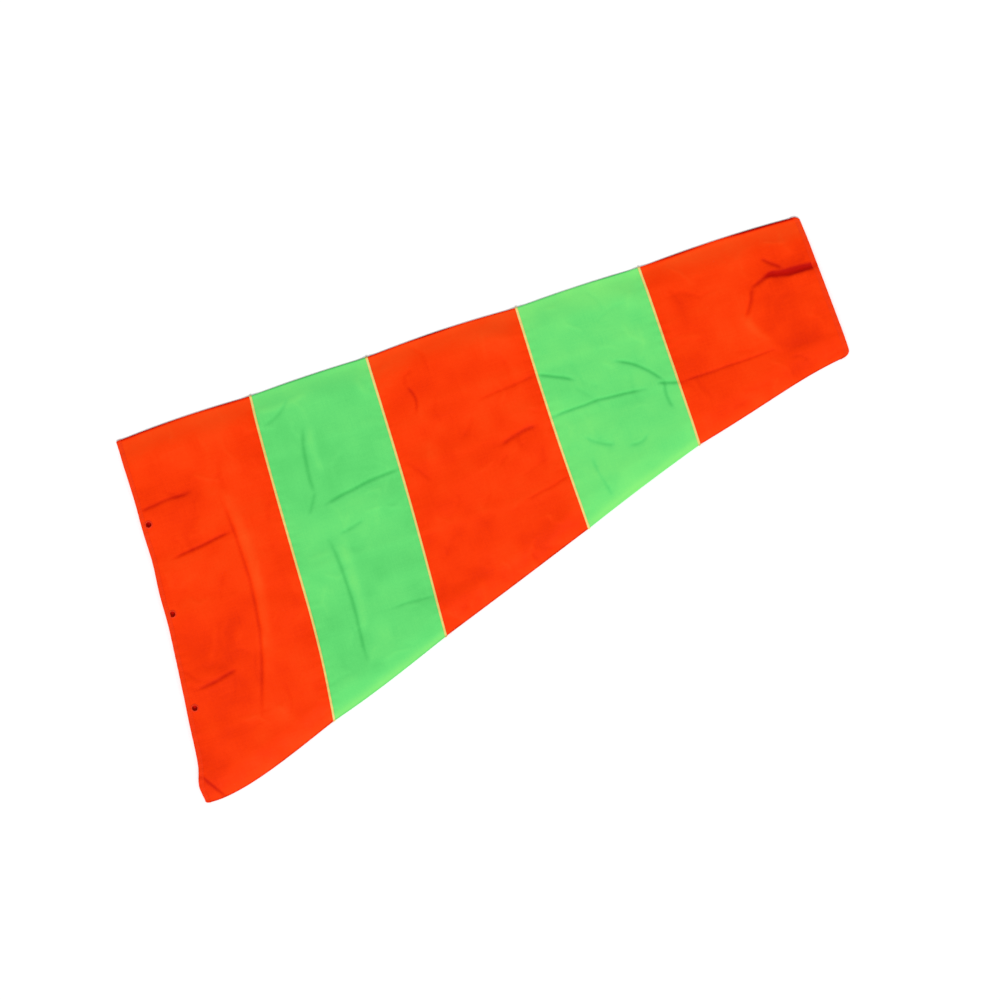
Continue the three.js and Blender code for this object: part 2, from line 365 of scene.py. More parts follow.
# Creases that packing and handling left in the upper layer: height and width in mm, where each starts and
# ends, and how far its middle is off the straight line between them, in mm. A place is how far along the
# sleeve it is, from 0 at the mouth to 5 at the tail, and its share across, from 0 at the folded edge.
CREASES = (
    (-0.6, 2.0, (0.0, 0.20), (0.4, 0.20), 0),  # band 1, lengthwise from the mouth
    (-0.8, 2.0, (0.15, 0.35), (0.6, 0.35), 0),
    (-0.6, 2.2, (0.1, 0.70), (0.4, 0.70), 3),
    (-0.6, 2.2, (0.6, 0.25), (0.5, 0.85), -20),  # across the band
    (0.5, 7.0, (0.65, 0.25), (0.6, 0.75), -15),
    (-0.6, 2.0, (0.0, 0.92), (0.15, 1.0), 0),  # at the mouth's sewn corner
    (0.3, 4.0, (1.0, 0.05), (1.45, 0.05), 5),  # band 2, along the fold
    (-0.4, 2.0, (1.05, 0.10), (1.3, 0.05), 4),
    (-0.7, 2.4, (1.35, 0.15), (1.3, 0.35), 4),  # across it
    (0.4, 5.0, (1.4, 0.15), (1.4, 0.30), 2),
    (-0.5, 2.0, (1.3, 0.35), (1.2, 0.40), 0),
    (-0.9, 2.0, (1.35, 0.40), (2.0, 0.40), -4),  # lengthwise
    (-0.5, 2.0, (1.4, 0.50), (1.6, 0.50), 1),
    (-0.8, 2.2, (1.3, 0.50), (1.35, 0.90), -5),  # across
    (0.4, 6.0, (1.4, 0.50), (1.4, 0.80), -2),
    (-0.4, 1.6, (1.65, 0.80), (2.0, 0.85), 0),
    (-0.5, 1.8, (2.2, 0.15), (2.2, 0.25), -4),  # band 3
    (-0.35, 2.0, (2.6, 0.30), (3.0, 0.30), 1),
    (-0.6, 2.6, (2.65, 0.50), (2.9, 0.50), -3),
    (-0.35, 2.0, (2.7, 0.75), (3.0, 0.75), 1),
    (-1.0, 1.8, (3.0, 0.30), (3.25, 0.40), -2),  # band 4
    (-1.0, 1.8, (3.6, 0.40), (3.9, 0.60), -4),
    (-1.0, 1.6, (3.0, 0.50), (3.75, 0.60), -5),
    (-1.0, 1.8, (3.85, 0.60), (4.0, 0.65), 0),
    (-0.8, 2.0, (3.9, 0.60), (3.9, 0.75), 3),
    (-0.5, 2.0, (3.2, 0.65), (3.4, 0.75), 5),
    (-0.5, 1.8, (3.5, 0.80), (3.65, 0.80), 4),
    (-0.5, 2.0, (3.2, 0.75), (3.25, 0.95), 2),
    (-0.5, 1.5, (4.0, 0.65), (4.6, 0.75), 0),  # band 5
    (-0.7, 2.4, (4.6, 0.35), (4.75, 0.30), -1),
    (-1.3, 3.6, (4.7, 0.30), (5.0, 0.35), 1),  # the deep one, from the tail
    (-0.8, 3.0, (4.8, 0.35), (5.0, 0.35), 0),
    (-0.6, 2.2, (4.7, 0.20), (4.8, 0.30), 1),
    (-0.6, 2.2, (4.6, 0.35), (4.5, 0.50), -3),
    (0.4, 5.0, (4.5, 0.50), (4.6, 0.70), 3),
)
CREASE_STEPS = 9
CREASE_WANDER = 1.6 * MM  # how unsteady a crease is

TONES = (-1.25, 1.2)  # darkest and lightest, apart from the painted shade along the fold
TONE_HEIGHT = 0.7 * MM  # height or depth of a crease that changes the tone by 1: painted shade in its valley, painted highlight on a ridge
FOLD_HIGHLIGHT = 0.55  # painted highlight: how much lighter the cloth is at its folded edge
FOLD_HIGHLIGHT_WIDTH = 30 * MM
SEWN_HIGHLIGHT = (0.3, 1.1, 0.2, 1.1, 0.3)  # and the painted highlight at its sewn edge, for each band
SEWN_HIGHLIGHT_WIDTH = 10 * MM
BAND_TONES = (0.0, -0.05, 0.05, 0.3, 0.0)
PAINTED_FOLD_SHADE = (2.4 * MM, 1.2 * MM, 1.6 * MM, 1.2 * MM, 2.8 * MM)  # painted shade: a dark line along the fold, where it rounds away from the light, for each band
PAINTED_FOLD_SHADE_TONE = 2.2
PAINTED_SEWN_SHADE = 1.2 * MM  # and a line of painted shade along the sewn edge, where it rounds away
PAINTED_SEWN_SHADE_TONE = 1.1

CRUMPLES = 320  # short creases with no pattern, all over the upper layer
CRUMPLE_SIZES = (0.012, 0.05)
CRUMPLE_HEIGHTS = (0.1, 0.34)
CRUMPLE_WIDTHS = (1.9, 3.4)


def bent_creases():
    """Height, width and points in the pattern of each of CREASES, in metres."""
    made = []
    for number, (height, width, start, end, bow) in enumerate(CREASES):
        places = np.array((start, end))
        first, last = np.column_stack(pattern_of(outline(places[:, 0], places[:, 1])))
        way = last - first
        length = np.linalg.norm(way)
        side = np.array((-way[1], way[0])) / length
        share = np.linspace(0, 1, CREASE_STEPS)
        wander = CREASE_WANDER * noise(share * length, share * 0, 0.022, 300 + number)
        aside = bow * MM * np.sin(math.pi * share) + wander
        made.append((height * MM, width * MM, first + share[:, None] * way + aside[:, None] * side))
    return made


def random_crumples(seed=77):
    """Short creases in the same form, mostly lengthwise or straight across."""
    random = np.random.default_rng(seed)
    made = []
    for _ in range(CRUMPLES):
        middle = random.uniform((-0.03, 0.01), (0.96, 0.49))
        turn = random.choice((0, math.pi / 2)) + random.normal(0, 0.55)
        size = random.uniform(*CRUMPLE_SIZES)
        way = np.array((math.cos(turn), math.sin(turn))) * size / 2
        bend = np.array((-way[1], way[0])) * random.uniform(-0.5, 0.5)
        height = random.uniform(*CRUMPLE_HEIGHTS) * random.choice((-1, 1)) * MM
        width = random.uniform(*CRUMPLE_WIDTHS) * MM
        made.append((height, width, np.array((middle - way, middle + bend, middle + way))))
    return made


CREASE_LINES = bent_creases()
CRUMPLE_LINES = random_crumples()


def rounded(distance, radius):
    """From 0 at an edge to 1 a radius in from it, along a quarter circle."""
    return np.sqrt(1 - (1 - np.clip(distance / radius, 0, 1)) ** 2)


def to_polyline(u, v, points):
    """Distance from (u, v) to a line through points, and how far along it that is, from 0 to 1."""
    steps = np.linalg.norm(np.diff(points, axis=0), axis=1)
    nearest, along, done = np.full(u.shape, np.inf), np.zeros(u.shape), 0.0
    for start, end, length in zip(points, points[1:], steps):
        way = (end - start) / length
        t = np.clip((u - start[0]) * way[0] + (v - start[1]) * way[1], 0, length)
        distance = np.hypot(u - start[0] - t * way[0], v - start[1] - t * way[1])
        closer = distance < nearest
        nearest = np.where(closer, distance, nearest)
        along = np.where(closer, (done + t) / steps.sum(), along)
        done += length
    return nearest, along


CREASE_SPREAD = 1.2


def creases(u, v, which):
    """Height at (u, v) of these creases."""
    total = np.zeros(u.shape)
    for height, width, points in which:
        low, high = points.min(0) - 0.04, points.max(0) + 0.04
        near = (u > low[0]) & (u < high[0]) & (v > low[1]) & (v < high[1])
        if not near.any():
            continue
        distance, along = to_polyline(u[near], v[near], points)
        ends = smooth(along * 4 + 0.3) * smooth((1 - along) * 4 + 0.3)
        total[near] += height * ends * bell(distance, 0, CREASE_SPREAD * width)
    return total


def along_bands(values, a):
    """The value of the band that a is in."""
    return np.take(values, np.clip(np.floor(a).astype(int), 0, len(values) - 1))


def from_lines(a, share):
    """Distance to the nearest of the six lines across the sleeve, in metres."""
    lengths_fold = np.linalg.norm(np.diff(FOLD, axis=0), axis=1)
    lengths_sewn = np.linalg.norm(np.diff(SEWN, axis=0), axis=1)
    k = np.clip(np.floor(a).astype(int), 0, len(lengths_fold) - 1)
    length = lengths_fold[k] * (1 - share) + lengths_sewn[k] * share
    return np.minimum(a - k, k + 1 - a) * length


def relief(u, v, upper, line, from_fold):
    """Height of the cloth's own shape over the smooth tube: on the upper layer and on the lower one.

    With it come the heights of the creases, the crumples and the packing folds, for the tone.
    """
    lumps = sum(height * noise(u + 1, v + 1, size, seed) for size, height, seed in LUMPS)
    folds = sum((-1) ** n * PACKED_HEIGHT * bell(v, at, PACKED_WIDTH) for n, at in enumerate(PACKED_FOLDS))
    folds = folds * (0.5 + 0.5 * noise(u + 2, v + 2, 0.14, 21))
    marked = creases(u, v, CREASE_LINES)
    crumpled = creases(u, v, CRUMPLE_LINES)
    pucker = PUCKER * np.sin(2 * math.pi * v / PUCKER_PITCH + 5 * noise(u + 3, v + 3, 0.07, 31))
    pucker = pucker * bell(line, 0, PUCKER_REACH) * (0.6 + 0.4 * noise(u, v + 4, 0.05, 33))
    groove = -GROOVE * bell(line, 0, GROOVE_REACH)
    away = smooth(line / CREASE_CLEAR + 0.25)
    top = np.where(upper, (lumps + folds + marked + crumpled) * away + pucker + groove, 0)
    top = top * (0.25 + 0.75 * smooth(from_fold / FOLD_CALM))
    under = np.where(upper, 0, np.abs(lumps) * 0.25 + pucker * 0.3)
    return top, under, marked, crumpled, folds


def surface(a, ring):
    """Point of the sleeve's outer surface, and its tone: below 0 is darker cloth and above 0 lighter, with
    painted shade and painted highlight in it.

    a is 0 at the mouth and 5 at the tail. ring is 0 at the folded edge, 1 at the sewn one, across the
    upper layer, and back to 2 at the folded edge across the lower one.
    """
    a, ring = np.broadcast_arrays(np.asarray(a, float), np.asarray(ring, float))
    upper = ring <= 1
    share = np.where(upper, ring, 2 - ring)
    flat = outline(a, share)
    u, v = pattern_of(flat)
    width = np.linalg.norm(along_lines(SEWN, a) - along_lines(FOLD, a), axis=-1)
    from_fold, from_sewn = share * width, (1 - share) * width
    line = from_lines(a, share)

    inner = smooth(from_fold / EDGE_REACH) * smooth(from_sewn / EDGE_REACH)
    half = (EDGE_GAP + (MIDDLE_GAP - EDGE_GAP) * inner) / 2
    half = half * (LINE_SHARE + (1 - LINE_SHARE) * smooth(line / LINE_REACH))
    edge = rounded(from_fold, FOLD_RADIUS) * rounded(from_sewn, FOLD_RADIUS * 0.8)
    at_seam = (a > 0.5) & (a < LINES[-1] - 0.5)
    room = np.where(at_seam, PIPING_ROOM, END_ROOM) * (1 - smooth(line / ROOM_REACH))
    low = REST_HEIGHT + room
    row, column = a * SIM_ROWS, share * SIM_COLUMNS
    buckle = np.where(upper, cubic(buckles[0], row, column), cubic(buckles[1], row, column))
    buckle = buckle * inner * np.where(upper, BUCKLE_SHARE, LOWER_SHARE)
    top, under, marked, crumpled, folds = relief(u, v, upper, line, from_fold)
    height = low + half + np.where(upper, edge, -edge) * half
    height = height + edge**2 * (top + buckle + under)
    height = np.maximum(height, np.where(upper, low, REST_HEIGHT * 0.6))

    # painted shade in crease valleys and painted highlight on crease ridges, from their heights
    depth = (marked + 0.5 * crumpled + 0.3 * folds) / TONE_HEIGHT
    # painted highlight near the folded and the sewn edge
    rims = FOLD_HIGHLIGHT * bell(from_fold, 0, FOLD_HIGHLIGHT_WIDTH)
    rims = rims + along_bands(SEWN_HIGHLIGHT, a) * bell(from_sewn, 0, SEWN_HIGHLIGHT_WIDTH)
    # painted shade: a thin dark line along the rounded sewn edge
    rims = rims - PAINTED_SEWN_SHADE_TONE * bell(from_sewn, 0, PAINTED_SEWN_SHADE)
    # painted shade: a dark line along the folded edge, where it rounds away from the light
    shade_and_wear = bell(from_fold, 0, along_bands(PAINTED_FOLD_SHADE, a)) * (0.8 + 0.5 * noise(u + 6, v + 6, 0.05, 47))
    mottled = 0.2 * noise(u + 5, v + 5, 0.08, 41) + 0.15 * noise(u + 5, v + 5, 0.02, 43)
    tone = rims + 0.75 * np.where(upper, depth, 0) + mottled + along_bands(BAND_TONES, a)
    tone = np.clip(tone, *TONES) - PAINTED_FOLD_SHADE_TONE * shade_and_wear
    return np.concatenate([flat, height[..., None]], -1), tone


def normals_of(points):
    """Outward normals of a grid whose rows run to the tail and whose columns close into a ring."""
    along = np.gradient(points, axis=0)
    round_it = np.roll(points, -1, 1) - np.roll(points, 1, 1)
    normal = np.cross(round_it, along)
    return normal / np.maximum(np.linalg.norm(normal, axis=-1, keepdims=True), 1e-12)


def ring_stations(width, step):
    """Places round the sleeve about step apart, closer on the two rounded edges."""
    edge = FOLD_RADIUS * (1 - np.cos(np.radians((0, 22.5, 45, 67.5)))) / width
    clear = 2.2 * FOLD_RADIUS / width
    inside = np.linspace(clear, 1 - clear, max(8, round(width / step)))
    upper = np.concatenate([edge, inside, 1 - edge[::-1]])
    return np.concatenate([upper, 2 - upper[-2:0:-1]])


# ---- mesh pieces ----


def make_piece(name, verts, faces, material, tone=None, second=None, second_faces=()):
    """A closed mesh whose faces all point out. second_faces are the faces that take the second material."""
    verts = np.asarray(verts, float)
    faces = [tuple(int(i) for i in face) for face in faces]
    fans = [(f[0], f[i], f[i + 1]) for f in faces for i in range(1, len(f) - 1)]
    one, two, three = verts[np.array(fans)].transpose(1, 0, 2) - verts.mean(0)
    if np.sum(one * np.cross(two, three)) < 0:
        faces = [face[::-1] for face in faces]
    piece = new_object(name, verts.tolist(), faces)
    mesh = piece.data
    mesh.materials.append(material)
    if second is not None:
        mesh.materials.append(second)
        index = np.zeros(len(faces), np.int32)
        index[list(second_faces)] = 1
        mesh.polygons.foreach_set("material_index", index)
    if tone is not None:
        attribute = mesh.attributes.new("tone", "FLOAT", "POINT")
        attribute.data.foreach_set("value", np.asarray(tone, np.float32).ravel())
    mesh.polygons.foreach_set("use_smooth", [True] * len(faces))
    mesh.set_sharp_from_angle(angle=math.radians(55))
    mesh.update()
    return piece


def grid_faces(rows, columns, start=0):
    """Quads of a grid whose columns close into a ring."""
    r, c = np.meshgrid(np.arange(rows - 1), np.arange(columns), indexing="ij")
    beside = (c + 1) % columns
    here, below = start + r * columns, start + (r + 1) * columns
    return np.stack([here + c, here + beside, below + beside, below + c], -1).reshape(-1, 4)


HOLE_REACH = 5  # cells round a hole whose corners may move
HOLE_SPACING = 1.9 * MM  # least distance between the rings of corners round it


def round_holes(points, centres):
    """Moves the corners of a block of 3 by 3 cells round each centre onto a circle. Returns those blocks."""
    blocks = []
    half = points.shape[1] // 2
    for centre, upper in centres:
        cells = (points[:-1, :-1] + points[1:, 1:])[..., :2] / 2
        distance = np.linalg.norm(cells - centre, axis=-1)
        if upper:
            distance[:, half - 1 :] = np.inf
        else:
            distance[:, : half + 1] = np.inf
        r, c = np.unravel_index(np.argmin(distance), distance.shape)
        along = points[r + 1, c, :2] - points[r, c, :2]
        along /= np.linalg.norm(along)
        across = points[r, c + 1, :2] - points[r, c, :2]
        across -= along * (along @ across)
        across /= np.linalg.norm(across)
        shift = centre - cells[r, c]
        for i in range(max(1 - HOLE_REACH, -r), HOLE_REACH + 1):
            for j in range(1 - HOLE_REACH, HOLE_REACH + 1):
                off = np.hypot(i - 0.5, j - 0.5)
                ring = max(abs(i - 0.5), abs(j - 0.5))
                at = points[r + i, c + j]
                at[:2] += shift * (1 - smooth((off - 2) / 3))
                if ring == 1.5:  # one of the block's 12 corners: spread evenly, 30 degrees apart
                    turn = math.degrees(math.atan2(j - 0.5, i - 0.5))
                    spread = math.radians(round((turn - 45) / 26) * 30 + 45)
                    at[:2] = centre + HOLE * (math.cos(spread) * along + math.sin(spread) * across)
                elif off > 2:
                    away = at[:2] - centre
                    reach = np.linalg.norm(away)
                    least = HOLE + HOLE_SPACING * (ring - 1.5)
                    if reach < least:
                        at[:2] = centre + away / reach * least
        blocks.append((r, c))
    return blocks


def block_loop(r, c, columns):
    """Indices of the 12 corners round a block of 3 by 3 cells, in order."""
    loop = [(r - 1 + i, c - 1) for i in range(3)] + [(r + 2, c - 1 + j) for j in range(3)]
    loop += [(r + 2 - i, c + 2) for i in range(3)] + [(r - 1, c + 2 - j) for j in range(3)]
    return [i * columns + j % columns for i, j in loop]


def turned_in(a, width):
    """The two turned-in edges of the long seam, which lie inside the sewn edge: points and faces."""
    share = 1 - ALLOWANCE_LINES / width
    upper = surface(a[:, None], share[None, :])[0]
    lower = surface(a[:, None], 2 - share[None, :])[0]
    middle = (upper + lower) / 2
    room = np.clip((upper - lower)[..., 2] / 2 - CLOTH, 0.02 * MM, CLOTH / 0.7)
    verts, faces = [], []
    for side in (1, -1):  # 0.1 to 0.8 of the room above the middle, and below it
        near, far = middle.copy(), middle.copy()
        near[..., 2] += side * 0.1 * room
        far[..., 2] += side * 0.8 * room
        top, bottom = (far, near) if side > 0 else (near, far)
        grid = np.concatenate([top, bottom[:, ::-1]], 1)
        start, columns = sum(len(part) for part in verts), grid.shape[1]
        last = start + (len(a) - 1) * columns
        faces += [*grid_faces(len(a), columns, start)]
        faces += [np.arange(start, start + columns)[::-1], np.arange(last, last + columns)]
        verts.append(grid.reshape(-1, 3))
    return np.vstack(verts), faces


def tube_faces(rows, columns, blocks):
    """Faces of a tube with thickness, less the blocks of its holes: those outside, and those within it."""
    count = rows * columns
    quads = grid_faces(rows, columns)
    gone = set()
    rims = []
    for r, c in blocks:
        gone |= {(r + i) * columns + (c + j) % columns for i in (-1, 0, 1) for j in (-1, 0, 1)}
        ids = block_loop(r, c, columns)
        rims += [(one, two, two + count, one + count) for one, two in zip(ids, ids[1:] + ids[:1])]
    kept = quads[np.array([n for n in range(len(quads)) if n not in gone])]
    c = np.arange(columns)
    beside = (c + 1) % columns
    last = (rows - 1) * columns
    first_rim = np.stack([beside, c, c + count, beside + count], -1)
    last_rim = np.stack([last + c, last + beside, last + beside + count, last + c + count], -1)
    return [*kept, *first_rim, *last_rim, *rims], [*(kept[:, ::-1] + count)]


def make_band(k, material, inside):
    """One band of cloth, from line k to line k + 1, and the place and normal of each of its eyelets."""
    width = np.linalg.norm(SEWN[k] - FOLD[k])
    length = np.linalg.norm(SEWN[k + 1] + FOLD[k + 1] - SEWN[k] - FOLD[k]) / 2
    rows = round(length / GRID) + 1
    stations = ring_stations(width, GRID)
    a = k + np.linspace(SEAM_GAP / length, 1 - SEAM_GAP / length, rows)
    outer, tone = surface(a[:, None], stations[None, :])
    columns = len(stations)
    blocks = []
    if k == 0:
        boxes = [(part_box(f"eyelet_{side}_{n}"), side == "upper") for side, n in EYELETS]
        blocks = round_holes(outer, [(np.mean(box, 0)[:2], upper) for box, upper in boxes])
    normals = normals_of(outer)
    inner = outer - normals * CLOTH

    outside, within = tube_faces(rows, columns, blocks)
    faces = outside + within
    used = np.zeros(2 * rows * columns, bool)
    used[np.concatenate([np.ravel(face) for face in faces])] = True
    new = np.cumsum(used) - 1
    faces = [new[np.asarray(face)] for face in faces]
    verts = np.vstack([outer.reshape(-1, 3), inner.reshape(-1, 3)])[used]
    # the inner face is 0.2 darker in tone: painted shade inside the tube
    tones = np.concatenate([tone.ravel(), tone.ravel() - 0.2])[used]
    extra, extra_faces = turned_in(a, width)
    faces += [face + len(verts) for face in extra_faces]
    verts = np.vstack([verts, extra])
    tones = np.concatenate([tones, np.zeros(len(extra))])
    inside_faces = range(len(outside), len(faces))
    piece = make_piece(f"sleeve_{BANDS[k]}", verts, faces, material, tones, inside, inside_faces)

    eyelets = []
    for r, c in blocks:
        block = np.s_[r - 1 : r + 3, c - 1 : c + 3]
        eyelets.append((outer[block].reshape(-1, 3).mean(0), normals[block].reshape(-1, 3).mean(0)))
    return piece, eyelets


def flat_cut(k):
    """Width and length of a band's cloth opened out flat at its fold, with its allowances, and its area."""
    t = np.linspace(0, 1, 40)
    a = k + np.concatenate([t, t * 0 + 1, 1 - t, t * 0])
    share = np.concatenate([t * 0, t, t * 0 + 1, 1 - t])
    u, v = pattern_of(outline(a, share))
    layer = abs(np.sum(u * np.roll(v, -1) - v * np.roll(u, -1))) / 2
    turned = ALLOWANCE * np.linalg.norm(SEWN[k + 1] - SEWN[k])
    return 2 * (v.max() - v.min() + ALLOWANCE), u.max() - u.min(), 2 * (layer + turned)


def sweep(points, normals, section, along):
    """A closed tube round the sleeve. section holds (distance towards the tail, distance out) pairs."""
    rings = [points + along * forward[..., None] + normals * out[..., None] for forward, out in section]
    grid = np.stack(rings, 1)  # stations, section points
    faces = np.stack(ring_corners(*grid.shape[:2]), -1).reshape(-1, 4)
    return grid.reshape(-1, 3), faces


def ring_at(a, line, step, reach):
    """Points, normals, directions to the tail and tones of a ring of the surface at a.

    Its stations are about step apart and belong to line, so that rings beside each other match. The
    normals come from rings up to reach on either side.
    """
    width = np.linalg.norm(along_lines(SEWN, line) - along_lines(FOLD, line))
    stations = ring_stations(width, step)
    middle = 1
    rows = np.clip(a + np.array([-reach, 0, reach]), 0, LINES[-1])
    if rows[1] == rows[0]:  # at the mouth
        rows = rows[1] + np.array([0, reach, 2 * reach])
        middle = 0
    elif rows[2] == rows[1]:  # at the tail
        rows = rows[1] - np.array([2 * reach, reach, 0])
        middle = 2
    points, tone = surface(rows[:, None], stations[None, :])
    normals = normals_of(points)[middle]
    along = points[2] - points[0]
    along -= normals * np.sum(along * normals, -1, keepdims=True)
    along /= np.linalg.norm(along, axis=-1, keepdims=True)
    return points[middle], normals, along, tone[middle]


def ring_corners(stations, sides):
    """Indices of the four corners of each cell of a closed tube: here, and the next station and side."""
    s, c = np.meshgrid(np.arange(stations), np.arange(sides), indexing="ij")
    after, beside = (s + 1) % stations, (c + 1) % sides
    return s * sides + c, after * sides + c, after * sides + beside, s * sides + beside


def distances(points):
    """How far along a line of points each one is."""
    return np.concatenate([[0], np.cumsum(np.linalg.norm(np.diff(points, axis=0), axis=1))])


PIPING_SIDES = 14
PIPING_REACH = 0.002  # of a band, and the next one too
HEM_REACH = 0.004


def make_piping(k, material):
    """The piping in the seam at line k, which stands a little proud of the cloth all round."""
    points, normals, along, tone = ring_at(float(k), float(k), 0.7 * MM, PIPING_REACH)
    turns = np.linspace(0, 2 * math.pi, PIPING_SIDES, endpoint=False)
    walked = distances(points)
    wobble = 1 - 0.09 * np.cos(math.pi * walked / STITCH_PITCH) ** 8
    wobble = wobble + 0.05 * noise(walked, 0 * walked, 0.02, 70 + k)
    section = [
        (PIPING_HALF_WIDTH * math.sin(t) * wobble, PIPING_LIFT + PIPING_HALF_HEIGHT * math.cos(t) * wobble)
        for t in turns
    ]
    verts, faces = sweep(points, normals, section, along)
    # the piping takes the cloth's tone at its seam, painted shade and highlight included
    return make_piece(f"sleeve_piping_{k}", verts, faces, material, np.repeat(tone, len(turns)))


def hem_section():
    """The folded hem strip in section, from its outer raw edge round the cloth's end to its inner one."""
    outer, inner = 0.34 * MM, -0.35 * MM
    below, bead = inner - 0.3 * MM, 1 * MM
    top = [(HEM, outer * 0.5), (HEM, outer * 0.95), (HEM - bead, outer + 0.1 * MM), (HEM / 2, outer)]
    nose = [(bead, outer + 0.08 * MM), (-0.2 * MM, outer * 0.6), (-0.55 * MM, 0.02 * MM)]
    nose += [(-0.2 * MM, inner - 0.1 * MM), (bead, below)]
    back = [(HEM, below), (HEM, inner), (HEM - bead, -0.28 * MM), (HEM - bead, 0.12 * MM)]
    return top + nose + back


def hem_place(end):
    """The line that a hem is at, 1 or -1 for the way inwards from it, and the length of its band."""
    if end == 0:
        return 0.0, 1, np.linalg.norm(SEWN[1] - SEWN[0])
    return float(end), -1, np.linalg.norm(SEWN[-1] - SEWN[-2])


def make_hem(name, end, material):
    line, inwards, length = hem_place(end)
    rings = []
    for distance, out in hem_section():
        a = line + inwards * max(distance, 0) / length
        points, normals, along, tone = ring_at(a, line, HEM_STEP, HEM_REACH)
        wave = 0.07 * MM * np.cos(2 * math.pi * np.arange(len(points)) * HEM_STEP / STITCH_PITCH)
        ragged = 0.25 * MM * noise(points[:, 0] * 3 + 1, points[:, 1] * 3 + 1, 0.05, 51)
        ragged = ragged * (distance > HEM * 0.9)
        out = out + wave * (0 < distance < HEM)
        forward = inwards * (min(distance, 0) + ragged)
        rings.append(points + normals * out[:, None] + along * forward[:, None])
    grid = np.stack(rings, 1)
    here, after, opposite, beside = ring_corners(*grid.shape[:2])
    faces = np.stack([here, beside, opposite, after], -1).reshape(-1, 4)
    if end != 0:
        faces = faces[:, ::-1]
    # the hem takes 0.6 of the cloth's tone, painted shade and highlight included
    return make_piece(name, grid.reshape(-1, 3), faces, material, np.repeat(tone * 0.6, grid.shape[1]))


def make_stitches(name, end, inset, out, material):
    """A row of stitches all round a hem, each a short bent bar with its ends in the cloth."""
    line, inwards, length = hem_place(end)
    points, normals, along = ring_at(line + inwards * inset / length, line, 0.5 * MM, HEM_REACH)[:3]
    walked = distances(points)
    count = int(walked[-1] / STITCH_PITCH)
    verts, faces = [], []
    bars, sides = 7, 6
    bow = np.sqrt(1 - np.linspace(-1, 1, bars) ** 2)
    thick = STITCH_RADIUS * (0.55 + 0.45 * bow)
    lift = out - STITCH_SINK * (1 - bow)
    for n in range(count):
        middle = (n + 0.5) * walked[-1] / count
        where = middle + STITCH_LENGTH * np.linspace(-0.5, 0.5, bars)
        at, normal, side = (
            np.stack([np.interp(where, walked, column) for column in grid.T], -1)
            for grid in (points, normals, along)
        )
        start = len(verts)
        for i in range(bars):
            for j in range(sides):
                t = 2 * math.pi * j / sides
                up, aside = lift[i] + thick[i] * math.sin(t), thick[i] * math.cos(t)
                verts.append(at[i] + normal[i] * up + side[i] * aside)
        for i in range(bars - 1):
            for j in range(sides):
                a0, a1 = start + i * sides + j, start + i * sides + (j + 1) % sides
                faces.append((a0, a0 + sides, a1 + sides, a1))
        faces.append(tuple(start + j for j in range(sides)))
        faces.append(tuple(start + (bars - 1) * sides + j for j in reversed(range(sides))))
    return make_piece(name, verts, faces, material)


EYELET_RADIUS = 4.6 * MM
EYELET_SINK = 0.15 * MM
THREAD_RADIUS = 1.0 * MM
THREADS = 34


def make_eyelet(name, at, normal, material, seed):
    """A hole worked over with thread: a ring whose turns of thread run from the hole outwards."""
    random = np.random.default_rng(seed)
    normal = Vector(normal).normalized()
    x = Vector((1, 0, 0)).cross(normal).normalized()
    y = normal.cross(x)
    per, sides = 5, 12
    steps = THREADS * per
    reach = random.uniform(0.93, 1.1, THREADS)
    verts = []
    for i in range(steps):
        turn = 2 * math.pi * i / steps
        ridge = abs(math.sin(math.pi * i / per))
        out = x * math.cos(turn) + y * math.sin(turn)
        for j in range(sides):
            t = 2 * math.pi * j / sides
            size = THREAD_RADIUS * (0.86 + 0.14 * ridge)
            far = reach[i // per] if math.cos(t) > 0 else 1.0
            across = EYELET_RADIUS + size * far * math.cos(t)
            verts.append(Vector(at) + out * across + normal * (size * 0.8 * math.sin(t) - EYELET_SINK))
    faces = np.stack(ring_corners(steps, sides), -1).reshape(-1, 4)
    return make_piece(name, verts, faces, material)


# ---- materials ----

WEAVE = 0.55 * MM  # one thread over and one under
ROUGHNESS = 0.5
SLEEVE_TURN = math.atan2(TOWARDS_TAIL[1], TOWARDS_TAIL[0])
LIGHT_LEVEL = 1.11  # how bright a white surface is under this scene's lights


def linear(*rgb):
    """Surface colour that shows as these 0 to 255 values under the scene's lights."""
    part = [c / 255 for c in rgb]
    part = [c / 12.92 if c < 0.04045 else ((c + 0.055) / 1.055) ** 2.4 for c in part]
    return tuple(c / LIGHT_LEVEL for c in part) + (1.0,)


class Nodes:
    """A material's node tree, with short calls for the nodes that repeat."""

    def __init__(self, name):
        self.material = bpy.data.materials.new(name)
        self.material.use_nodes = True
        self.tree = self.material.node_tree
        self.shader = self.tree.nodes["Principled BSDF"]

    def add(self, kind, inputs=(), **settings):
        node = self.tree.nodes.new(kind)
        for key, value in settings.items():
            setattr(node, key, value)
        for key, value in dict(inputs).items():
            self.put(node.inputs[key], value)
        return node

    def put(self, socket, value):
        if isinstance(value, bpy.types.NodeSocket):
            self.tree.links.new(value, socket)
        else:
            socket.default_value = value

    def math(self, operation, a, b=0.0):
        return self.add("ShaderNodeMath", {0: a, 1: b}, operation=operation).outputs[0]

    def mix(self, share, a, b):
        node = self.add("ShaderNodeMix", data_type="RGBA")
        self.put(node.inputs["Factor"], share)
        self.put(node.inputs["A"], a)
        self.put(node.inputs["B"], b)
        return node.outputs["Result"]

    def noise(self, where, scale, detail=3.0, roughness=0.5):
        inputs = {"Vector": where, "Scale": scale, "Detail": detail, "Roughness": roughness}
        return self.add("ShaderNodeTexNoise", inputs).outputs["Fac"]

    def spread(self, value, low, high, to_low=0.0, to_high=1.0):
        inputs = {"Value": value, "From Min": low, "From Max": high, "To Min": to_low, "To Max": to_high}
        return self.add("ShaderNodeMapRange", inputs).outputs["Result"]


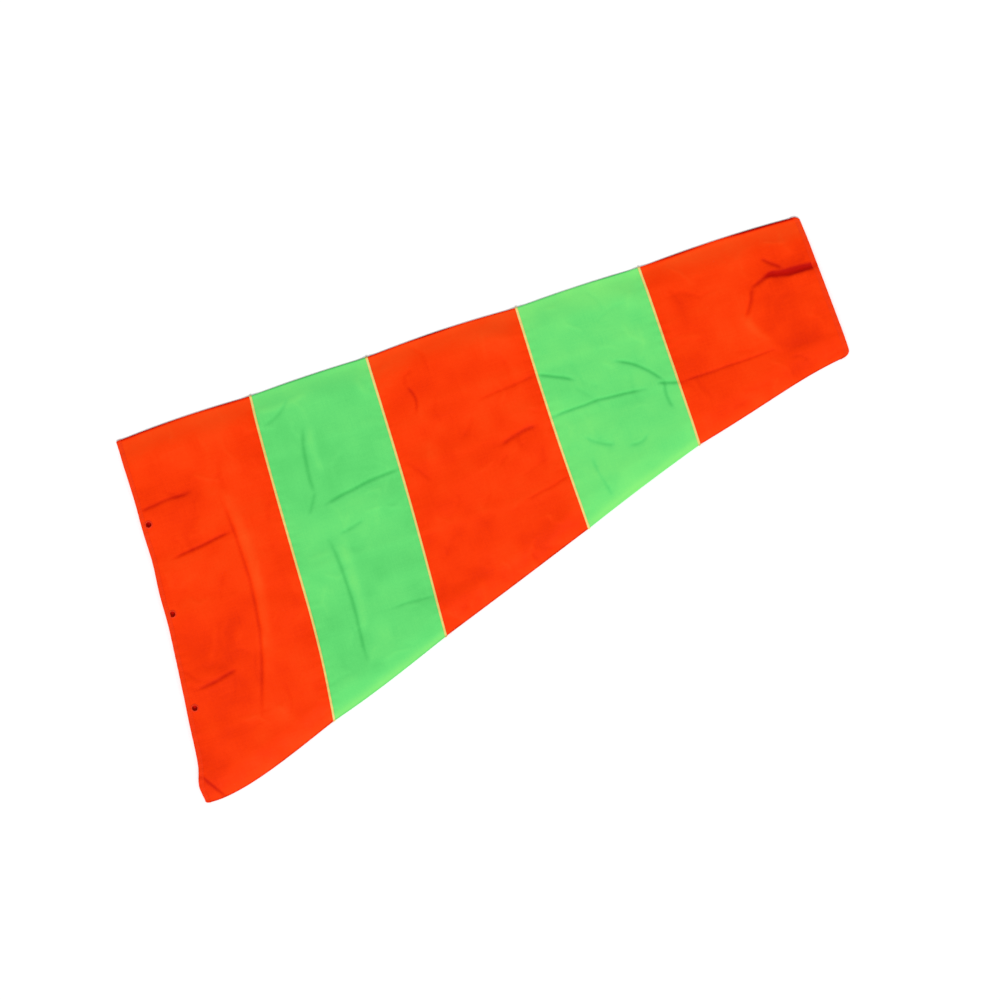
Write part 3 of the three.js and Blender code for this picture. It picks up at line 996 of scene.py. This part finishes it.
def woven(name, middle, light, dark, weave=WEAVE, depth=0.03 * MM):
    """Coated woven cloth or tape: a plain weave, uneven dye, and the tone each vertex carries, painted shade
    and painted highlight included.
    """
    n = Nodes(name)
    place = n.add("ShaderNodeTexCoord").outputs["Object"]
    turned = n.add("ShaderNodeMapping", {"Vector": place, "Rotation": (0, 0, -SLEEVE_TURN)}).outputs["Vector"]
    x, y = n.add("ShaderNodeSeparateXYZ", {"Vector": turned}).outputs[:2]
    wander = n.math("MULTIPLY", n.noise(turned, 30.0, 2.0), 0.004)
    turn = 2 * math.pi / weave
    waves = [n.math("SINE", n.math("MULTIPLY", n.math("ADD", at, wander), turn)) for at in (x, y)]
    threads = n.math("MULTIPLY", *waves)
    slub = n.noise(turned, 2500.0, 1.0)
    height = n.math("ADD", threads, n.math("MULTIPLY", slub, 0.8))
    bump = n.add("ShaderNodeBump", {"Height": height, "Strength": 1.0, "Distance": depth})
    limp = n.noise(turned, 190.0, 4.0, 0.6)
    soft = {"Height": limp, "Strength": 0.2, "Distance": 0.5 * MM, "Normal": bump.outputs["Normal"]}
    n.put(n.shader.inputs["Normal"], n.add("ShaderNodeBump", soft).outputs["Normal"])
    # tone: painted shade and painted highlight from surface, with random unevenness and band offsets
    tone = n.add("ShaderNodeAttribute", attribute_name="tone").outputs["Fac"]
    cloudy = n.math("SUBTRACT", n.noise(turned, 14.0, 5.0, 0.6), 0.5)
    fine = n.math("SUBTRACT", n.noise(turned, 420.0, 2.0), 0.5)
    uneven = n.math("ADD", n.math("MULTIPLY", cloudy, 0.65), n.math("MULTIPLY", fine, 0.3))
    for stretch in ((25, 1500, 1), (1500, 25, 1)):  # thick and thin threads, each way
        long = n.add("ShaderNodeMapping", {"Vector": turned, "Scale": stretch}).outputs["Vector"]
        streak = n.math("SUBTRACT", n.noise(long, 1.0, 1.0), 0.5)
        uneven = n.math("ADD", uneven, n.math("MULTIPLY", streak, 0.32))
    amount = n.math("ADD", n.math("ADD", tone, uneven), n.math("MULTIPLY", threads, 0.3))
    lighter = n.mix(n.spread(amount, 0.0, 1.2), middle, light)
    darker = n.mix(n.spread(amount, 0.0, -1.2), lighter, dark)
    # the darkest colour, for the painted shade along the fold and in the deepest creases
    shade_and_wear = tuple(0.4 * c for c in dark[:3]) + (1.0,)
    n.put(n.shader.inputs["Base Color"], n.mix(n.spread(amount, -1.3, -2.2), darker, shade_and_wear))
    patchy = n.spread(n.noise(turned, 60.0), 0.3, 0.7, ROUGHNESS - 0.06, ROUGHNESS + 0.08)
    n.put(n.shader.inputs["Roughness"], patchy)
    n.put(n.shader.inputs["Sheen Weight"], 0.02)
    n.put(n.shader.inputs["Sheen Tint"], light)
    n.put(n.shader.inputs["Specular IOR Level"], 0.04)
    return n.material


def thread(name, colour, dark, pitch):
    """Twisted sewing thread."""
    n = Nodes(name)
    place = n.add("ShaderNodeTexCoord").outputs["Object"]
    wave = {"Vector": place, "Scale": 1 / pitch, "Distortion": 1.5}
    twist = n.add("ShaderNodeTexWave", wave, bands_direction="DIAGONAL")
    bump = n.add("ShaderNodeBump", {"Height": twist.outputs["Fac"], "Strength": 0.5, "Distance": 0.08 * MM})
    n.put(n.shader.inputs["Normal"], bump.outputs["Normal"])
    shade_and_wear = n.spread(n.noise(place, 700.0), 0.35, 0.7)
    n.put(n.shader.inputs["Base Color"], n.mix(shade_and_wear, colour, dark))
    n.put(n.shader.inputs["Roughness"], 0.55)
    n.put(n.shader.inputs["Sheen Weight"], 0.05)
    n.put(n.shader.inputs["Sheen Tint"], colour)
    n.put(n.shader.inputs["Specular IOR Level"], 0.12)
    return n.material


# each cloth's light and dark colours show its random unevenness and its painted highlight and painted shade
ORANGE = woven("orange_cloth", linear(255, 57, 0), linear(255, 86, 24), linear(190, 8, 0))
# the cloth's reverse, inside the tube and seen through the eyelets, is darker than its face: partly its
# coating and partly painted shade
ORANGE_INSIDE_SHADED = woven("orange_cloth_inside_shaded", linear(236, 20, 0), linear(240, 30, 4), linear(220, 10, 0))
ORANGE_HEM = woven("orange_hem", linear(248, 58, 8), linear(252, 84, 34), linear(220, 30, 2))
GREEN = woven("green_cloth", linear(102, 222, 117), linear(136, 240, 122), linear(70, 190, 92))
# the green's reverse likewise: partly its coating and partly painted shade
GREEN_INSIDE_SHADED = woven("green_cloth_inside_shaded", linear(80, 196, 96), linear(90, 205, 100), linear(60, 170, 76))
TAPE = (linear(238, 214, 122), linear(250, 228, 146), linear(200, 156, 66))
YELLOW = woven("yellow_piping", *TAPE, weave=1.1 * MM, depth=0.1 * MM)
THREAD = thread("orange_thread", linear(250, 66, 22), linear(216, 38, 6), 0.6 * MM)


# ---- build ----


def join(piece, body, slot, *nodes):
    """A piece stands for these CAD nodes and rides on its body."""
    if nodes:
        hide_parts(*nodes)
    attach(piece, body)


def bend_behind(band, k):
    """Works out the way past the seam at line k and bakes the band's transform into its mesh; it doesn't bend
    the band.
    """
    way = Vector(JOINTS[k - 1]["axis"]).cross(Vector((0, 0, 1)))
    way = way if way.x > 0 else -way
    way.normalize()
    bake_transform(band)


bands = []
places = []
for k, (name, colour) in enumerate(zip(BANDS, COLOURS)):
    outside, inside = (ORANGE, ORANGE_INSIDE_SHADED) if colour == "orange" else (GREEN, GREEN_INSIDE_SHADED)
    band, found = make_band(k, outside, inside)
    places += found
    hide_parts(name, f"side_seam_{k + 1}")
    if k == 0:
        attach(band, BODIES[0])
    else:
        bend_behind(band, k)
    bands.append(band)

for k in range(1, 5):
    join(make_piping(k, YELLOW), BODIES[k - 1], "yellow_piping", f"piping_{k}")

trims = {}
for end, body in (("mouth", 0), ("tail", 4)):
    line = LINES[0] if end == "mouth" else LINES[-1]
    hem = make_hem(f"sleeve_{end}_hem", line, ORANGE_HEM)
    stitches = make_stitches(f"sleeve_{end}_stitches", line, HEM - 1.5 * MM, 0.5 * MM, THREAD)
    join(hem, BODIES[body], "orange_cloth", f"{end}_hem")
    join(stitches, BODIES[body], "orange_thread")
    trims[body] = [hem, stitches]

for number, ((side, n), (at, normal)) in enumerate(zip(EYELETS, places)):
    eyelet = make_eyelet(f"sleeve_eyelet_{side}_{n}", at, normal, THREAD, 61 + number)
    join(eyelet, BODIES[0], "orange_thread", f"eyelet_{side}_{n}")
    trims[0].append(eyelet)

for k, band in enumerate(bands):
    width, length, area = flat_cut(k)


# ---- floor and light ----

SKY = 0.64
SUN = 2.1
SUN_SPREAD = 22  # degrees
SUN_FROM = (-0.25, -1.0, 1.15)


def make_floor():
    n = Nodes("floor_paper")
    place = n.add("ShaderNodeTexCoord").outputs["Object"]
    pale = n.mix(n.noise(place, 3.0), (0.93, 0.93, 0.93, 1), (0.95, 0.95, 0.95, 1))
    n.put(n.shader.inputs["Base Color"], pale)
    n.put(n.shader.inputs["Roughness"], 0.9)
    floor = square("floor", 9)
    floor.data.materials.append(n.material)


make_floor()
sun = bpy.data.lights.new("key", "SUN")
sun.energy = SUN
sun.angle = math.radians(SUN_SPREAD)
key = bpy.data.objects.new("key", sun)
key.rotation_euler = (-Vector(SUN_FROM)).to_track_quat("-Z", "Y").to_euler()
bpy.context.scene.collection.objects.link(key)
world = bpy.data.worlds.new("studio")
world.use_nodes = True
world.node_tree.nodes["Background"].inputs["Color"].default_value = (1, 1, 1, 1)
world.node_tree.nodes["Background"].inputs["Strength"].default_value = SKY
bpy.context.scene.world = world
bpy.context.scene.view_settings.view_transform = "Standard"
